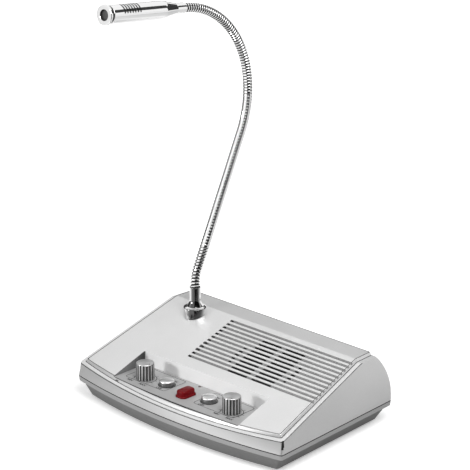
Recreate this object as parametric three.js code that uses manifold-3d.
// Window intercom: a counter-top console with a speaker grille, a recessed control panel and a
// gooseneck microphone. Millimetres, +Z up, front towards -Y. The origin lies on the desk,
// under the middle of the console.

import * as THREE from 'three';
import { mergeVertices } from 'three/addons/utils/BufferGeometryUtils.js';
import Module from 'manifold-3d';

const wasm = await Module();
wasm.setup();

const { degToRad, lerp } = THREE.MathUtils;

// General
const overrun = 5;
const runningGap = 0.3;
const slideGap = 0.3;

// Console in plan, on the seam between its two housings
const consoleHalfWidth = 105;
const frontCornerY = -65.7;
const frontMidY = -76.4;
const frontRadius = 516;
const rearY = 63.7;
const planTaperShare = 0.0588;
const cornerRadius = 2;
const rearCornerRadius = 1.5;

// Console from the side
const footHeight = 2;
const lowerHousingHeight = 14.8;
const consoleHeight = 59.2;
const plateFrontHeight = 27.24;
const bendY = 27.9;
const plateRearY = 45.4;
const stepHeight = 2.1;
const creaseHeight = 4.5;
const rearLipHeight = 6.2;
const rearArcRise = 2.2;
const sideDraftShare = 0.07;
const wall = 2.5;

// Shoulder and raised plate
const shoulderFrontMidY = -74.7;
const shoulderFrontRadius = 519;
const plateFrontMidY = -70.65;
const plateFrontRadius = 538;
const plateFootMidY = -72.1;
const plateFootRadius = 485;
const plateLedge = 4.6;
const plateCornerRadius = 1.4;
const stepFlare = 1.2;
const plateRoot = 1;

// Lower housing: band, cove and drawn-in skirt
const bandHeight = 3.9;
const bandInset = 0.4;
const coveHeight = 3.2;
const coveInset = 4.4;
const skirtInset = 8.4;
const skirtFrontRadius = 461;
const frontInsetShare = 0.69;
const rearInsetShare = 0.95;
const lipHeight = 2;
const lipGap = 0.9;
const lipThickness = 1.2;
const lipRoot = 2.8;

// Feet, case screws and their posts
const footRadius = 6;
const footFrontInset = 29;
const footFrontY = -46;
const footRearInset = 33;
const footRearY = 44;
const postRadius = 3.5;
const postFrontInset = 17;
const postFrontY = -52;
const postRearInset = 23;
const postRearY = 47;
const postFootZ = 20;
const caseBossRadius = 4.4;
const caseScrewHeadRadius = 2.8;
const caseScrewHeadHeight = 2;
const caseScrewSeatZ = 12;
const caseScrewRadius = 1.3;
const caseScrewLength = 9.5;
const screwGap = 0.2;

// Control recess and its panel
const recessHalfWidth = 64.2;
const recessBackY = -34;
const recessFloorZ = 27.6;
const recessWall = 2.2;
const panelThickness = 0.5;
const panelGap = 0.4;
const panelFrontMidY = -69.2;
const panelFrontRadius = 727;

// Speaker grille: grooves across the plate, slots where they pass over the speaker
const grooveCount = 12;
const grooveFirstY = 22.3;
const groovePitch = 4.164;
const grooveWidth = 2;
const grooveDepth = 1.3;
const grooveRound = 0.35;
const slotWidth = 1.2;
const grooveStartX = -28.4;
const grilleX = 33.2;
const grilleCentreRow = 6.9;
const grilleRadius = 30;
const centreRibHalf = 2.45;
const innerSlotEnd = 21.4;
const outerSlotStart = 26.3;
const shortestSlot = 1.5;
const firstSlotRow = 2;

// Speaker, hung square to the slope under the grille
const speakerY = -4.9;
const clothRadius = 25.6;
const clothThickness = 0.4;
const speakerRadius = 26;
const coneRimRadius = 22;
const speakerFlange = 1.6;
const basketDepth = 9;
const basketFootRadius = 15;
const basketSheet = 1.2;
const coneSheet = 0.8;
const voiceCoilRadius = 7;
const dustCapHeight = 2.4;
const magnetRadius = 14;
const magnetThickness = 6;
const speakerPostRing = 28.8;
const speakerPostRadius = 2.4;
const speakerPinRadius = 1.1;
const speakerPinLength = 2.4;
const clampThickness = 1.4;
const clampEarRadius = 3.2;

// Circuit boards
const boardThickness = 1.6;
const mainBoardUnderZ = 18.4;
const mainBoardLeftInset = 39;
const mainBoardRightInset = 61;
const mainBoardFrontY = 8;
const mainBoardDepth = 50;
const controlBoardHalfWidth = 56;
const controlBoardFrontY = -63;
const controlBoardBackY = -34.4;
const controlBodyHeight = 6.6;
const standoffRadius = 3.2;
const standoffInset = 5;
const controlStandoffX = 33.2;
const controlStandoffY = -59;
const boardPinRadius = 1.3;
const boardPinRise = 1;
const pinGap = 0.3;
const chipWidth = 13;
const chipDepth = 8;
const chipHeight = 3.2;
const chipShare = 0.57;
const chipY = 27;
const capacitorRadius = 5;
const capacitorHeight = 12;
const capacitorShare = 0.29;
const capacitorY = 26;

// Rear sockets
const socketDepth = 13;
const socketHeight = 11;
const socketAxisHeight = 5.6;
const socketWallGap = 0.5;
const socketHoleGap = 0.4;
const powerSocketShare = 0.17;
const powerSocketWidth = 11;
const powerNoseRadius = 4.6;
const powerBoreRadius = 3.2;
const powerPinRadius = 1;
const jackWidth = 9;
const jackNoseRadius = 3.6;
const jackBoreRadius = 1.8;
const windowJackShare = 0.41;
const recorderJackShare = 0.65;
const socketBoreDepth = 9;

// Volume controls
const knobLeftX = -44.3;
const knobRightX = 44.8;
const knobY = -53.4;
const knobRadius = 7;
const knobTopRadius = 6.7;
const knobChamfer = 0.6;
const knobHeight = 12.6;
const knobLift = 0.5;
const fluteCount = 24;
const fluteDepth = 0.5;
const knobSkirtRadius = 5.9;
const knobSkirtDepth = 3.6;
const knobDotRadius = 0.6;
const knobDotDepth = 0.4;
const knobDotRing = 4.6;
const potHalfWidth = 6;
const bushRadius = 3.5;
const bushRise = 3.2;
const bushGap = 0.3;
const potNutAcrossFlats = 9;
const potNutHeight = 2.2;
const shaftRadius = 2;
const shaftFoot = 3;
const splineRadius = 3;
const splineTop = 6;

// Push buttons and their switches
const buttonTravel = 1.5;
const buttonLeftX = -24.3;
const buttonRightX = 19.3;
const buttonY = -50.6;
const buttonRadius = 5.65;
const buttonRise = 4;
const buttonEdge = 0.5;
const buttonFlange = 1.2;
const buttonFlangeHeight = 1;
const redButtonX = -0.9;
const redButtonY = -54.4;
const redButtonWidth = 10;
const redButtonLength = 15;
const redButtonTopInset = 0.75;
const redButtonCorner = 3.5;
const redButtonRise = 5;
const redButtonEdge = 0.7;
const stemRadius = 1.7;
const switchHalfWidth = 4;
const switchClearance = 0.5;
const lampX = -4.4;
const lampY = -36.2;
const lampRadius = 1;
const lampRise = 0.3;

// Microphone foot
const micInset = 43.5;
const micFootY = 17.4;
const flangeRadius = 9;
const flangeRimHeight = 5.4;
const flangeRimRound = 0.7;
const flareRootRadius = 5.6;
const flareRootHeight = 7.6;
const flareTopHeight = 10.6;
const flareEaseShare = 0.2;
const collarRadius = 4.25;
const collarHeight = 18.2;
const leadBoreRadius = 1.9;
const shankRadius = 5;
const shankReach = 7.2;
const shankGap = 0.4;
const footBossRadius = 9.5;
const footBossDrop = 1.34;
const washerRadius = 8.5;
const washerThickness = 1;
const footNutAcrossFlats = 14;
const footNutHeight = 4;

// Gooseneck: a straight, a short bend backwards, a long straight and the hook over the front
const neckRise = 7.2;
const neckLeanDeg = 25.6;
const neckLeanRadius = 28.6;
const neckShaftLength = 109.7;
const neckHookDeg = 109.1;
const neckHookRadius = 75.7;
const neckEndLength = 8;
const neckStub = 5.5;
const neckCrestRadius = 3.6;
const neckValleyRadius = 3.2;
const neckBoreRadius = 1.6;
const neckSides = 8;
const neckRibCount = 114;
const neckRibsPerBoreRing = 5;
const neckJointRibCounts = [7, 15, 40, 65, 91];
const neckJointGap = 0.4;
const neckJointConeDeg = 20;
const neckSocketGap = 0.3;
const leadRadius = 1.3;
const leadTipRadius = 0.3;

// Microphone head, measured forward from where the neck enters it
const headLength = 80;
const barrelRadius = 6.7;
const barrelWall = 0.8;
const sleeveRadius = 4.1;
const sleeveLength = 5;
const shoulderStart = 14;
const shoulderEnd = 21;
const shoulderStartRadius = 5.2;
const shoulderEaseShares = [0.6, 0.9];
const bezelRadius = 7.5;
const bezelRingLength = 2;
const bezelGrooveWidth = 0.8;
const bezelGrooveDepth = 0.5;
const bezelBandLength = 1.6;
const bezelSpigotLength = 3;
const bezelRound = 0.6;
const bezelDish = 0.8;
const meshRadius = 4.6;
const meshThickness = 0.8;
const meshDome = 0.4;
const meshRiseShare = 0.75;
const slotCount = 8;
const slotPitch = 2.25;
const soundSlotWidth = 0.9;
const slotFromTip = 20;
const slotArcDeg = 141;
const capsuleRadius = 4.5;
const capsuleLength = 6.5;
const capsuleFromTip = 8;
const holderLength = 8;

// Leads and ribbon inside the console
const innerLeadFootY = 27;
const speakerLeadRadius = 1;
const speakerLeadFootY = 20;
const ribbonWidth = 12;
const ribbonThickness = 1;
const ribbonX = -26;
const ribbonRise = 3;
const ribbonInset = 3.5;

// Faceting
const frontSegments = 6;
const cornerSegments = 3;
const rearArcSegments = 6;
const fineSegments = 24;
const roundSegments = 16;
const smallSegments = 8;
const sweepSteps = 12;

// Heights and places that follow from the sizes above
const slope = Math.atan2(consoleHeight - plateFrontHeight, bendY - plateFrontMidY);
const seamZ = footHeight + lowerHousingHeight;
const creaseZ = seamZ + creaseHeight;
const shoulderTopZ = consoleHeight - stepHeight;
const rearArcFootZ = seamZ + rearArcRise;
const rearArcSpan = rearY - plateRearY;
const rearArcHeight = shoulderTopZ - rearArcFootZ;
const rearArcRadius = (rearArcSpan ** 2 + rearArcHeight ** 2) / (2 * rearArcSpan);
const rearArcCentreY = rearY - rearArcRadius;
const rearLipZ = seamZ + rearLipHeight;
const footFrontX = consoleHalfWidth - footFrontInset;
const footRearX = consoleHalfWidth - footRearInset;
const postFrontX = consoleHalfWidth - postFrontInset;
const postRearX = consoleHalfWidth - postRearInset;
const micX = micInset - consoleHalfWidth;
const collarTopZ = consoleHeight + collarHeight;
const mainBoardLeftX = mainBoardLeftInset - consoleHalfWidth;
const mainBoardWidth = consoleHalfWidth - mainBoardRightInset - mainBoardLeftX;
const panelZ = recessFloorZ + panelThickness;
const recessUnderZ = recessFloorZ - recessWall;
const controlBoardZ = recessUnderZ - controlBodyHeight;
const mainBoardZ = mainBoardUnderZ + boardThickness;
const panelRise = recessWall + panelThickness;
const stemLength = controlBodyHeight - buttonFlangeHeight - buttonTravel - slideGap;
const switchHeight = controlBodyHeight - buttonFlangeHeight - buttonTravel - switchClearance;
const bushTop = controlBodyHeight + panelRise + bushRise;

// A place on the main board, as a share of the way from its left pins to its right ones
const alongBoard = (share) =>
  mainBoardLeftX + standoffInset + share * (mainBoardWidth - 2 * standoffInset);
const chipX = alongBoard(chipShare);
const capacitorX = alongBoard(capacitorShare);
const powerSocketX = alongBoard(powerSocketShare);
const windowJackX = alongBoard(windowJackShare);
const recorderJackX = alongBoard(recorderJackShare);

const material = (color, roughness, metalness) =>
  new THREE.MeshStandardMaterial({ color, roughness, metalness });
const silver = material(0xd4d4d2, 0.38, 0.35);
const greySilver = material(0xa9a9a8, 0.45, 0.35);
const panelGrey = material(0x9c9c9b, 0.45, 0.3);
const chrome = material(0xe8e8ea, 0.08, 1);
const spunAluminium = material(0xbdbdbd, 0.3, 0.9);
const redPlastic = material(0x8c0a14, 0.2, 0);
const blackPlastic = material(0x151515, 0.5, 0);
const blackCloth = material(0x0c0c0c, 0.95, 0);
const rubber = material(0x202020, 0.85, 0);
const zincSteel = material(0xb4b7ba, 0.35, 0.9);
const paperCone = material(0x2b2b2b, 0.9, 0);
const circuitBoard = material(0x1f5a34, 0.6, 0);
const clearLens = material(0x4a1210, 0.1, 0);

const intercom = new THREE.Group();

function part(name, geometry, look, parent = intercom) {
  const mesh = new THREE.Mesh(geometry, look);
  mesh.name = name;
  parent.add(mesh);
  return mesh;
}

// Solids and booleans

function welded(geometry) {
  const bare = geometry.clone();
  bare.deleteAttribute('normal');
  bare.deleteAttribute('uv');
  return mergeVertices(bare);
}

function solid(geometry) {
  const mesh = welded(geometry);
  const vertProperties = new Float32Array(mesh.attributes.position.array);
  const triVerts = new Uint32Array(mesh.index.array);
  return new wasm.Manifold(new wasm.Mesh({ numProp: 3, vertProperties, triVerts }));
}

function geometryOf(body) {
  const mesh = body.getMesh();
  const geometry = new THREE.BufferGeometry();
  geometry.setAttribute('position', new THREE.BufferAttribute(new Float32Array(mesh.vertProperties), 3));
  geometry.setIndex(new THREE.BufferAttribute(new Uint32Array(mesh.triVerts), 1));
  return geometry;
}

const cut = (body, ...tools) => tools.reduce((rest, tool) => rest.subtract(solid(tool)), body);
const join = (body, ...pieces) => pieces.reduce((sum, piece) => sum.add(solid(piece)), body);

// Faces that join a chain of rings with as many points each. The rings run anticlockwise seen
// against the way of the chain. A looped chain closes on itself; a plain one gets flat ends.
function ringChain(rings, looped) {
  const corners = [];
  const triangle = (a, b, c) => corners.push(...a.toArray(), ...b.toArray(), ...c.toArray());
  const spans = looped ? rings.length : rings.length - 1;
  for (let k = 0; k < spans; k += 1) {
    const lower = rings[k];
    const upper = rings[(k + 1) % rings.length];
    for (let i = 0; i < lower.length; i += 1) {
      const j = (i + 1) % lower.length;
      triangle(lower[i], lower[j], upper[j]);
      triangle(lower[i], upper[j], upper[i]);
    }
  }
  if (!looped) {
    for (let i = 1; i < rings[0].length - 1; i += 1) {
      const top = rings[rings.length - 1];
      triangle(rings[0][0], rings[0][i + 1], rings[0][i]);
      triangle(top[0], top[i], top[i + 1]);
    }
  }
  return bufferOf(corners);
}

function bufferOf(corners) {
  const geometry = new THREE.BufferGeometry();
  geometry.setAttribute('position', new THREE.Float32BufferAttribute(corners, 3));
  const mesh = mergeVertices(geometry);
  const index = [...mesh.index.array];
  const kept = [];
  for (let i = 0; i < index.length; i += 3) {
    const [a, b, c] = index.slice(i, i + 3);
    if (a !== b && b !== c && c !== a) {
      kept.push(a, b, c);
    }
  }
  mesh.setIndex(kept);
  return mesh;
}

// A body that is alike on both sides of the plane X = 0. Each level is half of its outline, from
// the middle of the front along the +X side to the middle of the rear, and its caps run straight
// across from side to side.
function mirroredLoft(levels) {
  const corners = [];
  const mirror = (p) => new THREE.Vector3(-p.x, p.y, p.z);
  const quad = (a, b, c, d) => {
    corners.push(...a.toArray(), ...b.toArray(), ...c.toArray());
    corners.push(...a.toArray(), ...c.toArray(), ...d.toArray());
  };
  const count = levels[0].length - 1;
  for (let k = 0; k < levels.length - 1; k += 1) {
    for (let i = 0; i < count; i += 1) {
      const [a, b] = [levels[k][i], levels[k][i + 1]];
      const [d, c] = [levels[k + 1][i], levels[k + 1][i + 1]];
      quad(a, b, c, d);
      quad(mirror(b), mirror(a), mirror(d), mirror(c));
    }
  }
  const [bottom, top] = [levels[0], levels[levels.length - 1]];
  for (let i = 0; i < count; i += 1) {
    quad(top[i], top[i + 1], mirror(top[i + 1]), mirror(top[i]));
    quad(bottom[i + 1], bottom[i], mirror(bottom[i]), mirror(bottom[i + 1]));
  }
  return bufferOf(corners);
}

const arcY = (x, midY, radius) => midY + radius - Math.sqrt(radius ** 2 - x ** 2);

// Half an outline with a bowed front, rounded corners and a straight rear. halfAt gives its half
// width at a depth, zAt its height there, and stations are the depths where its side needs points.
function halfOutline({ frontY, radius, round, halfAt, zAt, stations = [], backY, backRound }) {
  let cornerX = halfAt(frontY);
  for (let pass = 0; pass < frontSegments; pass += 1) {
    cornerX = halfAt(arcY(cornerX, frontY, radius));
  }
  const cornerY = arcY(cornerX, frontY, radius);
  const points = [];
  const add = (x, y) => points.push(new THREE.Vector3(x, y, zAt(y)));
  const roundOff = (start, corner, end) => {
    const curve = new THREE.QuadraticBezierCurve(start, corner, end);
    curve.getPoints(cornerSegments).forEach((p) => add(p.x, p.y));
  };
  for (let i = 0; i < frontSegments; i += 1) {
    const x = (cornerX - round) * (i / frontSegments);
    add(x, arcY(x, frontY, radius));
  }
  roundOff(
    new THREE.Vector2(cornerX - round, arcY(cornerX - round, frontY, radius)),
    new THREE.Vector2(cornerX, cornerY),
    new THREE.Vector2(halfAt(cornerY + round), cornerY + round),
  );
  stations.forEach((y) => add(halfAt(y), y));
  roundOff(
    new THREE.Vector2(halfAt(backY - backRound), backY - backRound),
    new THREE.Vector2(halfAt(backY), backY),
    new THREE.Vector2(halfAt(backY) - backRound, backY),
  );
  add(0, backY);
  return points;
}

function box(x0, x1, y0, y1, z0, z1) {
  const geometry = new THREE.BoxGeometry(x1 - x0, y1 - y0, z1 - z0);
  return geometry.translate((x0 + x1) / 2, (y0 + y1) / 2, (z0 + z1) / 2);
}

function post(x, y, radius, z0, z1, segments = roundSegments) {
  const geometry = new THREE.CylinderGeometry(radius, radius, z1 - z0, segments);
  return geometry.rotateX(Math.PI / 2).translate(x, y, (z0 + z1) / 2);
}

// A body turned about Z from [radius, z] points
function turned(profile, segments = roundSegments) {
  const points = profile.map(([radius, z]) => new THREE.Vector2(radius, z));
  return new THREE.LatheGeometry(points, segments).rotateX(Math.PI / 2);
}

function prism(shape, z0, z1) {
  const settings = { depth: z1 - z0, bevelEnabled: false, curveSegments: cornerSegments };
  return new THREE.ExtrudeGeometry(shape, settings).translate(0, 0, z0);
}

function hexagon(acrossFlats) {
  const corners = [];
  for (let i = 0; i < 6; i += 1) {
    const angle = (i * Math.PI) / 3;
    const reach = acrossFlats / 2 / Math.cos(Math.PI / 6);
    corners.push(new THREE.Vector2(reach * Math.cos(angle), reach * Math.sin(angle)));
  }
  return new THREE.Shape(corners);
}

// Console surfaces

const sideHalf = (y, z) =>
  consoleHalfWidth - planTaperShare * (y - frontCornerY) - sideDraftShare * Math.max(0, z - creaseZ);
const plateZ = (y) => consoleHeight - Math.tan(slope) * Math.max(0, bendY - y);
const plateHalf = (y) => sideHalf(y, plateZ(y)) - plateLedge;

// The boss of the microphone foot stands below the sloped wall all round its washer
const footBossZ = plateZ(micFootY - washerRadius) - wall - footBossDrop;
const shankFootZ = footBossZ - shankReach;

const rearWallY = (z, inset) =>
  rearArcCentreY + Math.sqrt((rearArcRadius - inset) ** 2 - (z - rearArcFootZ) ** 2);

function shoulderZ(y, inset) {
  const flat = plateZ(y) - stepHeight - inset;
  if (y < rearArcCentreY) {
    return flat;
  }
  const rise = (rearArcRadius - inset) ** 2 - (y - rearArcCentreY) ** 2;
  const arc = rearArcFootZ + Math.sqrt(Math.max(0, rise));
  return Math.max(rearLipZ, Math.min(flat, arc));
}

// The upper housing up to its shoulder, drawn in by an inset on all sides
function consoleBody(inset, bottomZ) {
  const frontRiseZ = shoulderZ(shoulderFrontMidY, 0) - seamZ;
  const frontLean = (shoulderFrontMidY - frontMidY) * (creaseHeight / frontRiseZ);
  const backEnd = rearWallY(rearLipZ, inset) - rearCornerRadius;
  const stations = [bendY];
  for (let i = 0; i <= rearArcSegments; i += 1) {
    const turn = (i / rearArcSegments) * (Math.PI / 2);
    stations.push(lerp(plateRearY - inset, backEnd, Math.sin(turn)));
  }
  stations.pop();
  const level = (frontY, radius, backY, zAt) => halfOutline({
    frontY: frontY + inset,
    radius: radius - inset,
    round: cornerRadius,
    halfAt: (y) => sideHalf(y, zAt(y)) - inset,
    zAt,
    stations,
    backY,
    backRound: rearCornerRadius,
  });
  return solid(mirroredLoft([
    level(frontMidY, frontRadius, rearWallY(rearArcFootZ, inset), () => bottomZ),
    level(frontMidY + frontLean, frontRadius, rearWallY(rearArcFootZ, inset), () => creaseZ),
    level(shoulderFrontMidY, shoulderFrontRadius, rearWallY(rearLipZ, inset), (y) => shoulderZ(y, inset)),
  ]));
}

// The raised plate with its flared step face and a root inside the shoulder
function raisedPlate(inset) {
  const level = (frontY, radius, flare, drop) => halfOutline({
    frontY: frontY + inset,
    radius: radius - inset,
    round: plateCornerRadius,
    halfAt: (y) => plateHalf(y) + flare - inset,
    zAt: (y) => plateZ(y) - inset - drop,
    stations: [bendY],
    backY: plateRearY - inset,
    backRound: plateCornerRadius,
  });
  return solid(mirroredLoft([
    level(plateFootMidY, plateFootRadius, stepFlare, stepHeight + plateRoot),
    level(plateFootMidY, plateFootRadius, stepFlare, stepHeight),
    level(plateFrontMidY, plateFrontRadius, 0, 0),
  ]));
}

const grooveY = (row) => grooveFirstY - row * groovePitch;

// One groove cutter with eased bottom edges, lying along the slope from x0 to x1
function grooveCutter(row, x0, x1, depth) {
  const half = grooveWidth / 2;
  const shape = new THREE.Shape();
  shape.moveTo(half, overrun);
  shape.lineTo(-half, overrun);
  shape.lineTo(-half, grooveRound - depth);
  shape.lineTo(grooveRound - half, -depth);
  shape.lineTo(half - grooveRound, -depth);
  shape.lineTo(half, grooveRound - depth);
  shape.closePath();
  const geometry = new THREE.ExtrudeGeometry(shape, { depth: x1 - x0, bevelEnabled: false });
  geometry.rotateY(Math.PI / 2).rotateX(Math.PI / 2).rotateX(slope);
  return geometry.translate(x0, grooveY(row), plateZ(grooveY(row)));
}

// The slots of one row: a pair beside the centre rib, and short ones outside the outer ribs
function rowSlots(row) {
  const along = ((row - grilleCentreRow) * groovePitch) / Math.cos(slope);
  const reach = Math.sqrt(Math.max(0, grilleRadius ** 2 - along ** 2));
  const spans = [[centreRibHalf, Math.min(innerSlotEnd, reach)]];
  if (reach > outerSlotStart + shortestSlot) {
    spans.push([outerSlotStart, reach]);
  }
  return spans.flatMap(([near, far]) => [
    [grilleX + near, grilleX + far],
    [grilleX - far, grilleX - near],
  ]);
}

function slotCutter(row, x0, x1) {
  const half = slotWidth / 2;
  const geometry = box(x0, x1, -half, half, -overrun, overrun).rotateX(slope);
  return geometry.translate(0, grooveY(row), plateZ(grooveY(row)));
}

const casePosts = [-1, 1].flatMap((side) => [
  [side * postFrontX, postFrontY],
  [side * postRearX, postRearY],
]);

// Points in the speaker's own frame, whose Z axis is square to the slope
const speakerFrame = new THREE.Group();
speakerFrame.position.set(grilleX, speakerY, plateZ(speakerY) - wall);
speakerFrame.rotation.x = slope;
speakerFrame.updateMatrix();
intercom.add(speakerFrame);

const speakerPosts = [1, 3, 5, 7].map((eighth) => [
  speakerPostRing * Math.cos((eighth * Math.PI) / 4),
  speakerPostRing * Math.sin((eighth * Math.PI) / 4),
]);
const flangeTop = -runningGap - clothThickness - runningGap;
const flangeUnder = flangeTop - speakerFlange;
const clampTop = flangeUnder - runningGap;

const controls = {
  knobs: [[knobLeftX, knobY], [knobRightX, knobY]],
  buttons: [[buttonLeftX, buttonY], [buttonRightX, buttonY]],
};

// Points of a rounded rectangle about the origin, as many for every size
function roundedRectangle(width, length, corner) {
  const steps = 2 * cornerSegments;
  const quarters = [[1, 1], [-1, 1], [-1, -1], [1, -1]];
  return quarters.flatMap(([right, up], quarter) => Array.from({ length: steps + 1 }, (_, i) => {
    const angle = (quarter + i / steps) * (Math.PI / 2);
    return new THREE.Vector2(
      right * (width / 2 - corner) + corner * Math.cos(angle),
      up * (length / 2 - corner) + corner * Math.sin(angle),
    );
  }));
}

// Cutters for what passes through the recess floor and its panel
function controlHoles() {
  const [z0, z1] = [recessUnderZ - overrun, panelZ + overrun];
  const red = new THREE.Shape(roundedRectangle(
    redButtonWidth + 2 * slideGap,
    redButtonLength + 2 * slideGap,
    redButtonCorner + slideGap,
  ));
  return [
    ...controls.knobs.map(([x, y]) => post(x, y, bushRadius + bushGap, z0, z1)),
    ...controls.buttons.map(([x, y]) => post(x, y, buttonRadius + slideGap, z0, z1)),
    prism(red, z0, z1).translate(redButtonX, redButtonY, 0),
    post(lampX, lampY, lampRadius + slideGap, z0, z1, smallSegments),
  ];
}

const rearSockets = [
  ['power_socket', powerSocketX, powerSocketWidth, powerNoseRadius, powerBoreRadius],
  ['window_speaker_socket', windowJackX, jackWidth, jackNoseRadius, jackBoreRadius],
  ['recorder_socket', recorderJackX, jackWidth, jackNoseRadius, jackBoreRadius],
];
const socketAxisZ = mainBoardZ + socketAxisHeight;

function upperHousing() {
  const outer = consoleBody(0, seamZ).add(raisedPlate(0));
  const hollow = consoleBody(wall, seamZ - overrun).add(raisedPlate(wall));
  const reach = recessHalfWidth + recessWall;
  const inner = [
    box(-reach, reach, frontMidY - overrun, recessBackY + recessWall, recessUnderZ, consoleHeight + overrun),
    post(micX, micFootY, footBossRadius, footBossZ, consoleHeight + overrun),
    ...casePosts.map(([x, y]) => post(x, y, postRadius, postFootZ, consoleHeight + overrun)),
    ...speakerPosts.flatMap(([x, y]) => [
      post(x, y, speakerPostRadius, flangeUnder, overrun, smallSegments),
      post(x, y, speakerPinRadius, flangeUnder - speakerPinLength, overrun, smallSegments),
    ]).map((piece) => piece.applyMatrix4(speakerFrame.matrix)),
  ];
  let housing = outer.subtract(hollow);
  for (const piece of inner) {
    housing = housing.add(outer.intersect(solid(piece)));
  }
  for (let row = 0; row < grooveCount; row += 1) {
    housing = cut(housing, grooveCutter(row, grooveStartX, consoleHalfWidth, grooveDepth));
    if (row >= firstSlotRow) {
      housing = cut(housing, ...rowSlots(row).map(([x0, x1]) => slotCutter(row, x0, x1)));
    }
  }
  const recess = box(
    -recessHalfWidth,
    recessHalfWidth,
    frontMidY - overrun,
    recessBackY,
    recessFloorZ,
    consoleHeight + overrun,
  );
  const screwHoleTop = postFootZ + caseScrewLength;
  return geometryOf(cut(
    housing,
    recess,
    ...controlHoles(),
    post(micX, micFootY, shankRadius + shankGap, footBossZ - overrun, consoleHeight + overrun),
    ...casePosts.map(([x, y]) =>
      post(x, y, caseScrewRadius + screwGap, postFootZ - overrun, screwHoleTop, smallSegments)),
    ...rearSockets.map(([, x, , nose]) =>
      post(x, 0, nose + socketHoleGap, 0, rearY).rotateX(-Math.PI / 2).translate(0, 0, socketAxisZ)
        .translate(0, mainBoardFrontY, 0)),
  ));
}

// Lower housing

function lowerLevel(z, inset, extra = 0) {
  return halfOutline({
    frontY: frontMidY + frontInsetShare * inset + extra,
    radius: lerp(frontRadius, skirtFrontRadius, inset / skirtInset) - extra,
    round: cornerRadius,
    halfAt: (y) => sideHalf(y, seamZ) - inset - extra,
    zAt: () => z,
    backY: rearY - rearInsetShare * inset - extra,
    backRound: rearCornerRadius,
  });
}

function lowerHousing() {
  const coveTopZ = seamZ - bandHeight;
  const coveFootZ = coveTopZ - coveHeight;
  const floorZ = footHeight + wall;
  const cove = [];
  for (let i = 0; i <= cornerSegments; i += 1) {
    const turn = (i / cornerSegments) * (Math.PI / 2);
    const inset = lerp(bandInset, coveInset, Math.sin(turn));
    cove.unshift(lowerLevel(lerp(coveFootZ, coveTopZ, Math.cos(turn)), inset));
  }
  const outer = mirroredLoft([lowerLevel(footHeight, skirtInset), ...cove, lowerLevel(seamZ, 0)]);
  const floorInset = lerp(skirtInset, coveInset, wall / (coveFootZ - footHeight));
  const hollow = mirroredLoft([
    lowerLevel(floorZ, floorInset, wall),
    lowerLevel(coveTopZ, coveInset, wall),
    lowerLevel(coveTopZ + wall, bandInset, wall),
    lowerLevel(seamZ + overrun, 0, wall),
  ]);
  const lipOuter = wall + lipGap;
  const lipTopZ = seamZ + lipHeight;
  const lipFootZ = seamZ - lipRoot;
  const lip = cut(
    solid(mirroredLoft([lowerLevel(lipFootZ, 0, lipOuter), lowerLevel(lipTopZ, 0, lipOuter)])),
    mirroredLoft([
      lowerLevel(lipFootZ - overrun, 0, lipOuter + lipThickness),
      lowerLevel(lipTopZ + overrun, 0, lipOuter + lipThickness),
    ]),
  );
  const bosses = [
    ...casePosts.map(([x, y]) => post(x, y, caseBossRadius, footHeight, postFootZ)),
    ...standoffs.flatMap(([x, y, boardZ]) => [
      post(x, y, standoffRadius, footHeight, boardZ - boardThickness, smallSegments),
      post(x, y, boardPinRadius, footHeight, boardZ + boardPinRise, smallSegments),
    ]),
  ];
  const seat = caseScrewHeadRadius + runningGap;
  const holes = casePosts.flatMap(([x, y]) => [
    post(x, y, seat, footHeight - overrun, caseScrewSeatZ),
    post(x, y, caseScrewRadius + screwGap, footHeight, postFootZ + overrun, smallSegments),
  ]);
  const shell = join(cut(solid(outer), hollow).add(lip), ...bosses);
  return geometryOf(cut(shell, ...holes));
}

const mainStandoffs = [0, 1].flatMap((side) => [0, 1].map((end) => [
  alongBoard(side),
  mainBoardFrontY + standoffInset + end * (mainBoardDepth - 2 * standoffInset),
]));
const controlStandoffs = [[-controlStandoffX, controlStandoffY], [controlStandoffX, controlStandoffY]];
const standoffs = [
  ...mainStandoffs.map(([x, y]) => [x, y, mainBoardZ]),
  ...controlStandoffs.map(([x, y]) => [x, y, controlBoardZ]),
];

part('upper_housing', upperHousing(), silver);
part('lower_housing', lowerHousing(), greySilver);

// A foot and a screw at each corner of the console
const corners = ['front_left', 'rear_left', 'front_right', 'rear_right'];
const footPlaces = [-1, 1].flatMap((side) => [
  [side * footFrontX, footFrontY],
  [side * footRearX, footRearY],
]);

function caseScrew() {
  const length = postFootZ - caseScrewSeatZ + caseScrewLength - runningGap;
  return turned([
    [0, -caseScrewHeadHeight],
    [caseScrewHeadRadius, -caseScrewHeadHeight],
    [caseScrewHeadRadius, 0],
    [caseScrewRadius, 0],
    [caseScrewRadius, length],
    [0, length],
  ], smallSegments);
}

corners.forEach((corner, i) => {
  const [footX, footY] = footPlaces[i];
  const [screwX, screwY] = casePosts[i];
  part(`foot_${corner}`, post(0, 0, footRadius, 0, footHeight), rubber).position.set(footX, footY, 0);
  part(`case_screw_${corner}`, caseScrew(), zincSteel).position.set(screwX, screwY, caseScrewSeatZ);
});

// Control panel

function controlPanel() {
  const half = recessHalfWidth - panelGap;
  const shape = new THREE.Shape();
  shape.moveTo(half, recessBackY - panelGap);
  shape.lineTo(-half, recessBackY - panelGap);
  for (let i = 0; i <= 2 * frontSegments; i += 1) {
    const x = lerp(-half, half, i / (2 * frontSegments));
    shape.lineTo(x, arcY(x, panelFrontMidY, panelFrontRadius));
  }
  return geometryOf(cut(solid(prism(shape, recessFloorZ, panelZ)), ...controlHoles()));
}

part('control_panel', controlPanel(), panelGrey);

part('indicator_lens', post(0, 0, lampRadius, controlBoardZ, panelZ + lampRise, smallSegments), clearLens)
  .position.set(lampX, lampY, 0);

// Boards and what stands on them

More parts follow.
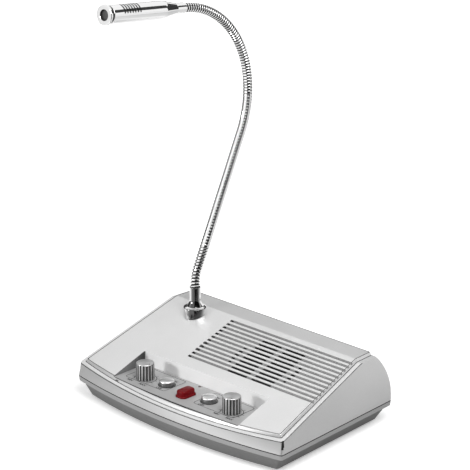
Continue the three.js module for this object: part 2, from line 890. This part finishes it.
function mainBoard() {
  const board = box(0, mainBoardWidth, 0, mainBoardDepth, 0, boardThickness)
    .translate(mainBoardLeftX, mainBoardFrontY, mainBoardUnderZ);
  const holes = mainStandoffs.map(([x, y]) =>
    post(x, y, boardPinRadius + pinGap, mainBoardUnderZ - overrun, mainBoardZ + overrun, smallSegments));
  return geometryOf(cut(solid(board), ...holes));
}

function controlBoard() {
  const half = controlBoardHalfWidth;
  const underZ = controlBoardZ - boardThickness;
  const board = box(-half, half, controlBoardFrontY, controlBoardBackY, underZ, controlBoardZ);
  const holes = controlStandoffs.map(([x, y]) =>
    post(x, y, boardPinRadius + pinGap, controlBoardZ - overrun, controlBoardZ + overrun, smallSegments));
  return geometryOf(cut(solid(board), ...holes));
}

part('main_board', mainBoard(), circuitBoard);
part('control_board', controlBoard(), circuitBoard);
part('amplifier_chip', box(0, chipWidth, 0, chipDepth, 0, chipHeight), blackPlastic)
  .position.set(chipX, chipY, mainBoardZ);
part('filter_capacitor', post(0, 0, capacitorRadius, 0, capacitorHeight), blackPlastic)
  .position.set(capacitorX, capacitorY, mainBoardZ);

// A socket that stands on the main board and shows its nose through the rear wall. Its local Y
// runs to the rear, with the origin on the nose's axis at the body's front.
function rearSocket(width, noseRadius, boreRadius) {
  const innerWallY = rearWallY(socketAxisZ + socketHeight - socketAxisHeight, wall) - socketWallGap;
  const noseY = rearWallY(socketAxisZ, 0) + panelGap;
  const along = (radius, y0, y1) =>
    post(0, 0, radius, y0, y1).rotateX(-Math.PI / 2);
  const body = box(
    -width / 2,
    width / 2,
    innerWallY - socketDepth,
    innerWallY,
    -socketAxisHeight,
    socketHeight - socketAxisHeight,
  );
  const socket = join(solid(body), along(noseRadius, innerWallY - overrun, noseY));
  const bored = cut(socket, along(boreRadius, noseY - socketBoreDepth, noseY + overrun));
  if (boreRadius < powerBoreRadius) {
    return geometryOf(bored);
  }
  const pin = along(powerPinRadius, noseY - socketBoreDepth - boardThickness, noseY - panelGap);
  return geometryOf(join(bored, pin));
}

for (const [name, x, width, nose, bore] of rearSockets) {
  part(name, rearSocket(width, nose, bore), blackPlastic).position.set(x, 0, socketAxisZ);
}

// Volume controls

const ringPoints = (radiusAt, z, count) => Array.from({ length: count }, (_, i) => {
  const angle = (i / count) * 2 * Math.PI;
  const radius = radiusAt(i);
  return new THREE.Vector3(radius * Math.cos(angle), radius * Math.sin(angle), z);
});

// The knob stands on the plane z = 0, fluted all round, with a hollow skirt and a shaft bore
function knob() {
  const fluted = (radius) => (i) => radius - (i % 2) * fluteDepth;
  const count = 2 * fluteCount;
  const smooth = () => knobTopRadius - fluteDepth - knobChamfer;
  const body = ringChain([
    ringPoints(fluted(knobRadius), 0, count),
    ringPoints(fluted(knobTopRadius), knobHeight - knobChamfer, count),
    ringPoints(smooth, knobHeight, count),
  ], false);
  return geometryOf(cut(
    solid(body),
    post(0, 0, knobSkirtRadius, -overrun, knobSkirtDepth),
    post(0, 0, splineRadius + runningGap, 0, knobSkirtDepth + splineTop),
    post(0, -knobDotRing, knobDotRadius, knobHeight - knobDotDepth, knobHeight + overrun, smallSegments),
  ));
}

// The potentiometer stands on the control board, its bush through the recess floor
function pot() {
  const half = potHalfWidth;
  const body = join(
    solid(box(-half, half, -half, half, 0, controlBodyHeight)),
    post(0, 0, bushRadius, controlBodyHeight - overrun, bushTop),
  );
  const bore = shaftRadius + runningGap;
  return geometryOf(cut(body, post(0, 0, bore, shaftFoot - runningGap, bushTop + overrun, smallSegments)));
}

function potShaft() {
  const splineFootZ = bushTop + runningGap;
  const knobFootZ = controlBodyHeight + panelRise + knobLift;
  const topZ = knobFootZ + knobSkirtDepth + splineTop - runningGap;
  return turned([
    [0, shaftFoot],
    [shaftRadius, shaftFoot],
    [shaftRadius, splineFootZ],
    [splineRadius, splineFootZ],
    [splineRadius, topZ],
    [0, topZ],
  ], smallSegments);
}

function potNut() {
  return geometryOf(cut(
    solid(prism(hexagon(potNutAcrossFlats), 0, potNutHeight)),
    post(0, 0, bushRadius + runningGap, -overrun, overrun),
  ));
}

['left', 'right'].forEach((side, i) => {
  const [x, y] = controls.knobs[i];
  part(`knob_${side}`, knob(), spunAluminium).position.set(x, y, panelZ + knobLift);
  part(`pot_shaft_${side}`, potShaft(), spunAluminium).position.set(x, y, controlBoardZ);
  part(`volume_pot_${side}`, pot(), zincSteel).position.set(x, y, controlBoardZ);
  part(`pot_nut_${side}`, potNut(), zincSteel).position.set(x, y, panelZ);
});

// Push buttons: a cap that shows, a flange that holds it under the recess floor, and a stem that
// reaches into the switch below. Their local origin is on the floor's underside.

function roundButton() {
  const top = panelRise + buttonRise;
  return turned([
    [0, -buttonFlangeHeight - stemLength],
    [stemRadius, -buttonFlangeHeight - stemLength],
    [stemRadius, -buttonFlangeHeight],
    [buttonRadius + buttonFlange, -buttonFlangeHeight],
    [buttonRadius + buttonFlange, 0],
    [buttonRadius, 0],
    [buttonRadius, top - buttonEdge],
    [buttonRadius - buttonEdge / 2, top - buttonEdge / 4],
    [buttonRadius - 2 * buttonEdge, top],
    [0, top],
  ]);
}

function redButton() {
  const outline = (inset) => roundedRectangle(
    redButtonWidth - 2 * inset,
    redButtonLength - 2 * inset,
    redButtonCorner - inset,
  );
  const ring = (inset, z) => outline(inset).map((p) => new THREE.Vector3(p.x, p.y, z));
  const top = panelRise + redButtonRise;
  const cap = ringChain([
    ring(-buttonFlange, -buttonFlangeHeight),
    ring(-buttonFlange, 0),
    ring(0, 0),
    ring(0, panelRise + redButtonEdge),
    ring(redButtonTopInset, panelRise + 2 * redButtonEdge),
    ring(redButtonTopInset, top - redButtonEdge),
    ring(redButtonTopInset + redButtonEdge, top),
  ], false);
  return geometryOf(join(solid(cap), post(0, 0, stemRadius, -buttonFlangeHeight - stemLength, 0)));
}

function pushSwitch() {
  const half = switchHalfWidth;
  return geometryOf(cut(
    solid(box(-half, half, -half, half, 0, switchHeight)),
    post(0, 0, stemRadius + slideGap, -overrun, switchHeight + overrun),
  ));
}

const pushButtons = [
  ['left', controls.buttons[0], roundButton(), chrome],
  ['right', controls.buttons[1], roundButton(), chrome],
  ['red', [redButtonX, redButtonY], redButton(), redPlastic],
];
for (const [name, [x, y], geometry, look] of pushButtons) {
  part(`button_${name}`, geometry, look).position.set(x, y, recessUnderZ);
  part(`switch_${name}`, pushSwitch(), blackPlastic).position.set(x, y, controlBoardZ);
}

// Speaker: every piece is turned about the speaker frame's Z axis

const magnetTop = flangeTop - basketDepth;

function basket() {
  const rim = coneRimRadius + runningGap;
  return turned([
    [basketFootRadius - basketSheet, magnetTop + basketSheet],
    [basketFootRadius - basketSheet, magnetTop],
    [basketFootRadius, magnetTop],
    [rim + basketSheet, flangeUnder],
    [speakerRadius, flangeUnder],
    [speakerRadius, flangeTop],
    [rim, flangeTop],
    [rim, flangeUnder],
    [basketFootRadius - basketSheet, magnetTop + basketSheet],
  ]);
}

// The paper cone with the dust cap that closes its middle
function cone() {
  const rimTop = flangeTop - runningGap;
  const footZ = magnetTop + basketSheet + 2 * runningGap;
  const capZ = footZ + 2 * coneSheet;
  return turned([
    [0, footZ],
    [voiceCoilRadius, footZ],
    [basketFootRadius, footZ + coneSheet],
    [coneRimRadius, rimTop - coneSheet],
    [coneRimRadius, rimTop],
    [coneRimRadius - coneSheet, rimTop],
    [basketFootRadius - coneSheet, footZ + 2 * coneSheet],
    [voiceCoilRadius, capZ],
    [voiceCoilRadius * Math.cos(Math.PI / 4), capZ + dustCapHeight * Math.sin(Math.PI / 4)],
    [0, capZ + dustCapHeight],
  ]);
}

// Holds the flange up: a ring with an ear over the pin of each speaker post
function speakerClamp() {
  const inner = coneRimRadius + runningGap + basketSheet + runningGap;
  const z0 = clampTop - clampThickness;
  const ring = turned([
    [inner, z0],
    [speakerRadius, z0],
    [speakerRadius, clampTop],
    [inner, clampTop],
    [inner, z0],
  ]);
  const ears = speakerPosts.map(([x, y]) => post(x, y, clampEarRadius, z0, clampTop, smallSegments));
  const holes = speakerPosts.map(([x, y]) =>
    post(x, y, speakerPinRadius + pinGap, z0 - overrun, clampTop + overrun, smallSegments));
  return geometryOf(cut(join(solid(ring), ...ears), ...holes));
}

const magnetFoot = magnetTop - runningGap - magnetThickness;
const cloth = post(0, 0, clothRadius, -runningGap - clothThickness, -runningGap);
part('dust_cloth', cloth, blackCloth, speakerFrame);
part('speaker_basket', basket(), zincSteel, speakerFrame);
part('speaker_cone', cone(), paperCone, speakerFrame);
part('speaker_magnet', post(0, 0, magnetRadius, magnetFoot, magnetTop - runningGap), zincSteel, speakerFrame);
part('speaker_clamp', speakerClamp(), blackPlastic, speakerFrame);

// Microphone foot: a flange with a rim that sits on the slope, a flare, a collar for the neck and
// a threaded shank through the plate

const plateAtFoot = plateZ(micFootY);

function micFoot() {
  const rimTop = plateAtFoot + flangeRimHeight;
  const socketZ = collarTopZ - neckStub;
  const flare = new THREE.QuadraticBezierCurve(
    new THREE.Vector2(flareRootRadius, plateAtFoot + flareRootHeight),
    new THREE.Vector2(collarRadius, plateAtFoot + lerp(flareRootHeight, flareTopHeight, flareEaseShare)),
    new THREE.Vector2(collarRadius, plateAtFoot + flareTopHeight),
  ).getPoints(cornerSegments).map((p) => [p.x, p.y]);
  const above = turned([
    [0, footBossZ],
    [flangeRadius, footBossZ],
    [flangeRadius, rimTop - flangeRimRound],
    [flangeRadius - flangeRimRound / 3, rimTop - flangeRimRound / 3],
    [flangeRadius - flangeRimRound, rimTop],
    ...flare,
    [collarRadius, collarTopZ],
    [0, collarTopZ],
  ], fineSegments);
  const reach = 2 * flangeRadius;
  const belowSlope = box(-reach, reach, -reach, reach, -2 * reach, runningGap).rotateX(slope)
    .translate(0, 0, plateAtFoot);
  const shank = post(0, 0, shankRadius, shankFootZ, rimTop - flangeRimRound);
  const foot = join(cut(solid(above), belowSlope), shank);
  return geometryOf(cut(
    foot,
    post(0, 0, leadBoreRadius, shankFootZ - overrun, collarTopZ + overrun, smallSegments),
    post(0, 0, neckValleyRadius + neckSocketGap, socketZ, collarTopZ + overrun),
  ));
}

function washer() {
  const inner = shankRadius + runningGap;
  const [z0, z1] = [footBossZ - washerThickness, footBossZ];
  return turned([[inner, z0], [washerRadius, z0], [washerRadius, z1], [inner, z1], [inner, z0]]);
}

function footNut() {
  const top = footBossZ - washerThickness;
  const nut = solid(prism(hexagon(footNutAcrossFlats), top - footNutHeight, top));
  const bore = post(0, 0, shankRadius + runningGap, top - footNutHeight - overrun, top + overrun);
  return geometryOf(cut(nut, bore));
}

part('mic_foot', micFoot(), chrome).position.set(micX, micFootY, 0);
part('mic_foot_washer', washer(), zincSteel).position.set(micX, micFootY, 0);
part('mic_foot_nut', footNut(), zincSteel).position.set(micX, micFootY, 0);

// Gooseneck: its centre line lies in the plane X = micX. The heading is measured from +Z
// towards -Y, and the first and last stretches are square to the pieces that hold them.

const neckRuns = [
  { length: neckRise, turn: 0 },
  { length: neckLeanRadius * degToRad(neckLeanDeg), turn: -1 / neckLeanRadius },
  { length: neckShaftLength, turn: 0 },
  { length: neckHookRadius * degToRad(neckHookDeg), turn: 1 / neckHookRadius },
  { length: neckEndLength, turn: 0 },
];
const neckLength = neckRuns.reduce((sum, run) => sum + run.length, 0);

// Place and heading at a distance along the neck; outside it the line goes on straight
function neckAt(distance) {
  let [y, z, heading] = [micFootY, collarTopZ - neckStub, 0];
  let rest = distance;
  for (const { length, turn } of neckRuns) {
    const step = Math.min(rest, length);
    const next = heading + turn * step;
    if (turn === 0) {
      y -= step * Math.sin(heading);
      z += step * Math.cos(heading);
    } else {
      y += (Math.cos(next) - Math.cos(heading)) / turn;
      z += (Math.sin(next) - Math.sin(heading)) / turn;
    }
    heading = next;
    rest -= step;
    if (rest <= 0) {
      break;
    }
  }
  if (rest > 0) {
    y -= rest * Math.sin(heading);
    z += rest * Math.cos(heading);
  }
  return { y, z, heading };
}

function tubeRing({ y, z, heading }, radius) {
  return Array.from({ length: neckSides }, (_, i) => {
    const angle = ((i + 0.5) / neckSides) * 2 * Math.PI;
    const across = radius * Math.sin(angle);
    return new THREE.Vector3(
      micX + radius * Math.cos(angle),
      y + across * Math.cos(heading),
      z + across * Math.sin(heading),
    );
  });
}

const neckRing = (distance, radius) => tubeRing(neckAt(distance), radius);
const ribPitch = (neckLength - 2 * neckStub) / neckRibCount;
const ribAt = (rib) => neckStub + rib * ribPitch;
const neckCuts = [0, ...neckJointRibCounts, neckRibCount];
const coneTan = Math.tan(degToRad(neckJointConeDeg));
const setBack = (radius) => neckJointGap / 2 + radius * coneTan;

// Ends of a stretch's bore: a joint's end is coned, the first and last ones are flat
const boreStart = (k) => (k === 0 ? 0 : ribAt(neckCuts[k]) + setBack(neckBoreRadius));
const lastStretch = neckCuts.length - 2;
const boreEnd = (k) => (k === lastStretch ? neckLength : ribAt(neckCuts[k + 1]) - setBack(neckBoreRadius));

function boreStations(k) {
  const stations = [];
  for (let rib = neckCuts[k] + neckRibsPerBoreRing; rib < neckCuts[k + 1] - 1; rib += neckRibsPerBoreRing) {
    stations.push(ribAt(rib));
  }
  return stations;
}

function neckStretch(k) {
  const [first, last] = [neckCuts[k], neckCuts[k + 1]];
  const startsAtJoint = k > 0;
  const endsAtJoint = k < lastStretch;
  const startFace = startsAtJoint ? ribAt(first) + setBack(neckValleyRadius) : 0;
  const endFace = endsAtJoint ? ribAt(last) - setBack(neckValleyRadius) : neckLength;
  const outer = [neckRing(startFace, neckValleyRadius)];
  if (!startsAtJoint) {
    outer.push(neckRing(ribAt(first), neckValleyRadius));
  }
  for (let rib = first; rib < last; rib += 1) {
    const from = Math.max(ribAt(rib), startFace);
    const to = Math.min(ribAt(rib + 1), endFace);
    outer.push(neckRing((from + to) / 2, neckCrestRadius));
    outer.push(neckRing(to, neckValleyRadius));
  }
  if (!endsAtJoint) {
    outer.push(neckRing(endFace, neckValleyRadius));
  }
  const bore = [boreStart(k), ...boreStations(k), boreEnd(k)].map((s) => neckRing(s, neckBoreRadius));
  return ringChain([...outer, ...bore.reverse()], true);
}

const capsuleEnd = headLength - capsuleFromTip;
const capsuleStart = capsuleEnd - capsuleLength;
const ribEnd = neckLength - neckStub;

// A lead tapers towards a joint as the neck round it does. Side is 1 above the joint, -1 below.
const leadTip = (joint, side) => [leadTipRadius, leadRadius].map((radius) =>
  neckRing(ribAt(neckCuts[joint]) + side * setBack(radius), radius));

// The microphone lead inside a moving stretch; the last one runs on to the capsule
function neckLead(k) {
  const end = k === lastStretch
    ? [neckRing(ribEnd + capsuleStart - runningGap, leadRadius)]
    : leadTip(k + 1, -1).reverse();
  const middle = boreStations(k).map((s) => neckRing(s, leadRadius));
  return ringChain([...leadTip(k, 1), ...middle, ...end], false);
}

// The lead from the main board up through the foot and the stretch of neck that stands in it
function footLead() {
  const boardEnd = new THREE.Vector2(innerLeadFootY, mainBoardZ + runningGap);
  const shankEnd = new THREE.Vector2(micFootY, shankFootZ);
  const middle = (boardEnd.y + shankEnd.y) / 2;
  const line = new THREE.CubicBezierCurve(
    boardEnd,
    new THREE.Vector2(boardEnd.x, middle),
    new THREE.Vector2(shankEnd.x, middle),
    shankEnd,
  );
  const below = line.getSpacedPoints(sweepSteps).map((p, i) => {
    const way = line.getTangentAt(i / sweepSteps);
    return tubeRing({ y: p.x, z: p.y, heading: Math.atan2(-way.x, way.y) }, leadRadius);
  });
  const above = [0, ...boreStations(0)].map((s) => neckRing(s, leadRadius));
  return ringChain([...below, ...above, ...leadTip(1, -1).reverse()], false);
}

part('mic_lead', footLead(), blackPlastic);
for (let k = 0; k < neckCuts.length - 1; k += 1) {
  part(`neck_${k}`, neckStretch(k), chrome);
  if (k > 0) {
    part(`neck_lead_${k}`, neckLead(k), blackPlastic);
  }
}

// Microphone head, turned about the neck's last heading

const head = new THREE.Group();
const headStart = neckAt(ribEnd);
head.position.set(micX, headStart.y, headStart.z);
head.rotation.x = headStart.heading;
intercom.add(head);

const barrelEnd = headLength - bezelRingLength - bezelGrooveWidth - bezelBandLength;
const barrelBore = barrelRadius - barrelWall;

function barrel() {
  const bore = leadBoreRadius;
  const socketEnd = neckStub + neckSocketGap;
  const [nearShare, farShare] = shoulderEaseShares;
  const shoulder = new THREE.CubicBezierCurve(
    new THREE.Vector2(sleeveRadius, sleeveLength),
    new THREE.Vector2(sleeveRadius, lerp(sleeveLength, shoulderStart, nearShare)),
    new THREE.Vector2(lerp(shoulderStartRadius, barrelRadius, farShare), shoulderStart),
    new THREE.Vector2(barrelRadius, shoulderEnd),
  ).getPoints(2 * cornerSegments).map((p) => [p.x, p.y]);
  const body = turned([
    [bore, socketEnd],
    [neckValleyRadius + neckSocketGap, socketEnd],
    [neckValleyRadius + neckSocketGap, 0],
    [sleeveRadius, 0],
    ...shoulder,
    [barrelRadius, barrelEnd],
    [barrelBore, barrelEnd],
    [barrelBore, shoulderEnd + barrelWall],
    [bore, shoulderStart],
    [bore, socketEnd],
  ], fineSegments);
  const half = degToRad(slotArcDeg) / 2;
  const wedge = new THREE.Shape();
  wedge.moveTo(0, 0);
  wedge.absarc(0, 0, barrelRadius + overrun, Math.PI / 2 - half, Math.PI / 2 + half, false);
  wedge.closePath();
  const slots = Array.from({ length: slotCount }, (_, i) => {
    const z = headLength - slotFromTip - i * slotPitch;
    const core = post(0, 0, barrelBore - barrelWall, 0, headLength);
    return geometryOf(cut(solid(prism(wedge, z - soundSlotWidth, z)), core));
  });
  return geometryOf(cut(solid(body), ...slots));
}

function bezel() {
  const opening = meshRadius + runningGap;
  const grooveStart = barrelEnd + bezelBandLength;
  const ringStart = grooveStart + bezelGrooveWidth;
  const grooveRadius = barrelRadius - bezelGrooveDepth;
  const spigot = barrelBore - runningGap;
  const bandStart = barrelEnd + runningGap;
  return turned([
    [opening, bandStart - bezelSpigotLength],
    [spigot, bandStart - bezelSpigotLength],
    [spigot, bandStart],
    [barrelRadius, bandStart],
    [barrelRadius, grooveStart],
    [grooveRadius, grooveStart],
    [grooveRadius, ringStart],
    [bezelRadius, ringStart],
    [bezelRadius, headLength - bezelRound],
    [bezelRadius - bezelRound / 3, headLength - bezelRound / 3],
    [bezelRadius - bezelRound, headLength],
    [opening, headLength - bezelDish],
    [opening, bandStart - bezelSpigotLength],
  ], fineSegments);
}

function meshDisc() {
  const top = headLength - bezelDish - meshDome;
  const rim = top - meshDome;
  return turned([
    [0, top - meshThickness - meshDome],
    [meshRadius, top - meshThickness - meshDome],
    [meshRadius, rim],
    [meshRadius / 2, lerp(rim, top, meshRiseShare)],
    [0, top],
  ]);
}

function capsuleHolder() {
  const [inner, outer] = [capsuleRadius + runningGap, barrelBore - runningGap];
  const z0 = capsuleStart - runningGap;
  const z1 = z0 - holderLength / 4;
  return turned([
    [leadRadius + runningGap, z1],
    [outer, z1],
    [outer, capsuleEnd],
    [inner, capsuleEnd],
    [inner, z0],
    [leadRadius + runningGap, z0],
    [leadRadius + runningGap, z1],
  ]);
}

part('mic_barrel', barrel(), chrome, head);
part('mic_bezel', bezel(), chrome, head);
part('mic_mesh', meshDisc(), blackPlastic, head);
part('mic_capsule', post(0, 0, capsuleRadius, capsuleStart, capsuleEnd), zincSteel, head);
part('capsule_holder', capsuleHolder(), rubber, head);

// Speaker leads and ribbon inside the console, each swept in a plane X = constant

function planarSweep(x, line, section) {
  const rings = line.getSpacedPoints(sweepSteps).map((p, i) => {
    const tangent = line.getTangentAt(i / sweepSteps);
    return section.map(([across, up]) => new THREE.Vector3(
      x + across,
      p.x + up * tangent.y,
      p.y - up * tangent.x,
    ));
  });
  return ringChain(rings, false);
}

const roundSection = (radius) => Array.from({ length: neckSides }, (_, i) => {
  const angle = (i / neckSides) * 2 * Math.PI;
  return [radius * Math.cos(angle), radius * Math.sin(angle)];
});

// From the side of the speaker's basket, below the clamp, down to the main board
function speakerLeads() {
  const startZ = clampTop - clampThickness - 2 * runningGap;
  const down = (flangeUnder - startZ) / (flangeUnder - magnetTop);
  const basketRadius = lerp(coneRimRadius + runningGap + basketSheet, basketFootRadius, down);
  const start = new THREE.Vector3(-(basketRadius + speakerLeadRadius + runningGap), 0, startZ)
    .applyMatrix4(speakerFrame.matrix);
  const top = start.z - speakerLeadRadius;
  const foot = mainBoardZ + runningGap;
  const middle = (top + foot) / 2;
  return planarSweep(start.x, new THREE.CubicBezierCurve(
    new THREE.Vector2(start.y, top),
    new THREE.Vector2(start.y, middle),
    new THREE.Vector2(speakerLeadFootY, middle),
    new THREE.Vector2(speakerLeadFootY, foot),
  ), roundSection(speakerLeadRadius));
}

// A flat ribbon from the control board to the main board
function ribbon() {
  const half = ribbonWidth / 2;
  const [y0, y1] = [controlBoardBackY - ribbonInset, mainBoardFrontY + ribbonInset];
  const [z0, z1] = [controlBoardZ + runningGap, mainBoardZ + runningGap];
  const top = z1 + ribbonRise;
  const line = new THREE.CurvePath();
  line.add(new THREE.QuadraticBezierCurve(
    new THREE.Vector2(y0, z0),
    new THREE.Vector2(y0, top),
    new THREE.Vector2(y0 + ribbonRise, top),
  ));
  const [near, far] = [y0 + ribbonRise, y1 - ribbonRise];
  line.add(new THREE.LineCurve(new THREE.Vector2(near, top), new THREE.Vector2(far, top)));
  line.add(new THREE.QuadraticBezierCurve(
    new THREE.Vector2(y1 - ribbonRise, top),
    new THREE.Vector2(y1, top),
    new THREE.Vector2(y1, z1),
  ));
  const t = ribbonThickness / 2;
  return planarSweep(ribbonX, line, [[-half, -t], [half, -t], [half, t], [-half, t]]);
}

part('speaker_leads', speakerLeads(), blackPlastic);
part('board_ribbon', ribbon(), greySilver);

export default intercom;
